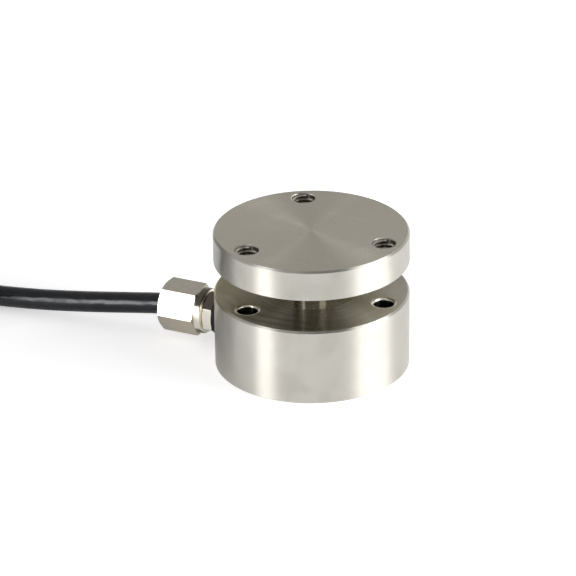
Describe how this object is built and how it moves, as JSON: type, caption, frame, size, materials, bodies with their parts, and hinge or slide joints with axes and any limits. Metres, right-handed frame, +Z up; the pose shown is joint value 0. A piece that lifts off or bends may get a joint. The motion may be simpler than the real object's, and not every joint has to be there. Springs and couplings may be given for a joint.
{
  "type": "inline load cell",
  "caption": "Spool-shaped stainless load cell: a bolted flange on a short stem above a hollow drum body, with a side cable gland and a long shielded cable in a tied coil.",
  "frame": {"origin": "Centre of the bolt circle on the bottom face of the lower body, which is the face that the cell stands on.", "axes": "+Z runs up the loading axis, from the bottom face to the top face. The cable gland points along -X, and one bolt hole of each face lies on +X."},
  "size_m": [0.2029, 0.0827, 0.0366],
  "materials": {
    "turned_steel": "fine turned stainless steel",
    "cover_steel": "fine turned stainless steel plate",
    "plated_brass": "satin nickel plating over brass",
    "seal_rubber": "black nitrile rubber",
    "cable_jacket": "black semi-gloss polyurethane jacket",
    "shrink_sleeve": "black shrunk polyolefin",
    "tie_nylon": "natural nylon",
    "board_laminate": "green glass-fibre laminate",
    "gauge_foil": "amber polyimide film with metal foil",
    "resistor_ceramic": "dark glazed chip",
    "tinned_wire": "tinned copper",
    "core_red": "red insulation",
    "core_black": "black insulation",
    "core_green": "green insulation",
    "core_white": "white insulation"
  },
  "bodies": {
    "root": {"sensing_element": "turned_steel", "bottom_cover": "cover_steel", "cover_gasket": "seal_rubber", "terminal_board": "board_laminate", "strain_gauge_1": "gauge_foil", "strain_gauge_2": "gauge_foil", "strain_gauge_3": "gauge_foil", "strain_gauge_4": "gauge_foil", "gauge_leads_1": "tinned_wire", "gauge_leads_2": "tinned_wire", "gauge_leads_3": "tinned_wire", "gauge_leads_4": "tinned_wire", "span_resistor_1": "resistor_ceramic", "span_resistor_2": "resistor_ceramic", "zero_trim_resistor": "resistor_ceramic", "temperature_resistor": "resistor_ceramic", "inner_core_red": "core_red", "inner_core_black": "core_black", "inner_core_green": "core_green", "inner_core_white": "core_white", "gland_body": "plated_brass", "gland_seal": "seal_rubber", "gland_grommet": "seal_rubber", "gland_clamp_ring": "plated_brass", "gland_nut": "plated_brass", "cable_entry": "cable_jacket", "cable_lead": "cable_jacket", "cable_coil": "cable_jacket", "cable_tail": "cable_jacket", "coil_tie_1": "tie_nylon", "coil_tie_2": "tie_nylon", "end_sleeve": "shrink_sleeve", "core_red": "core_red", "core_black": "core_black", "core_green": "core_green", "core_white": "core_white", "shield_wire": "tinned_wire", "core_tips": "tinned_wire"}
  },
  "joints": []
}
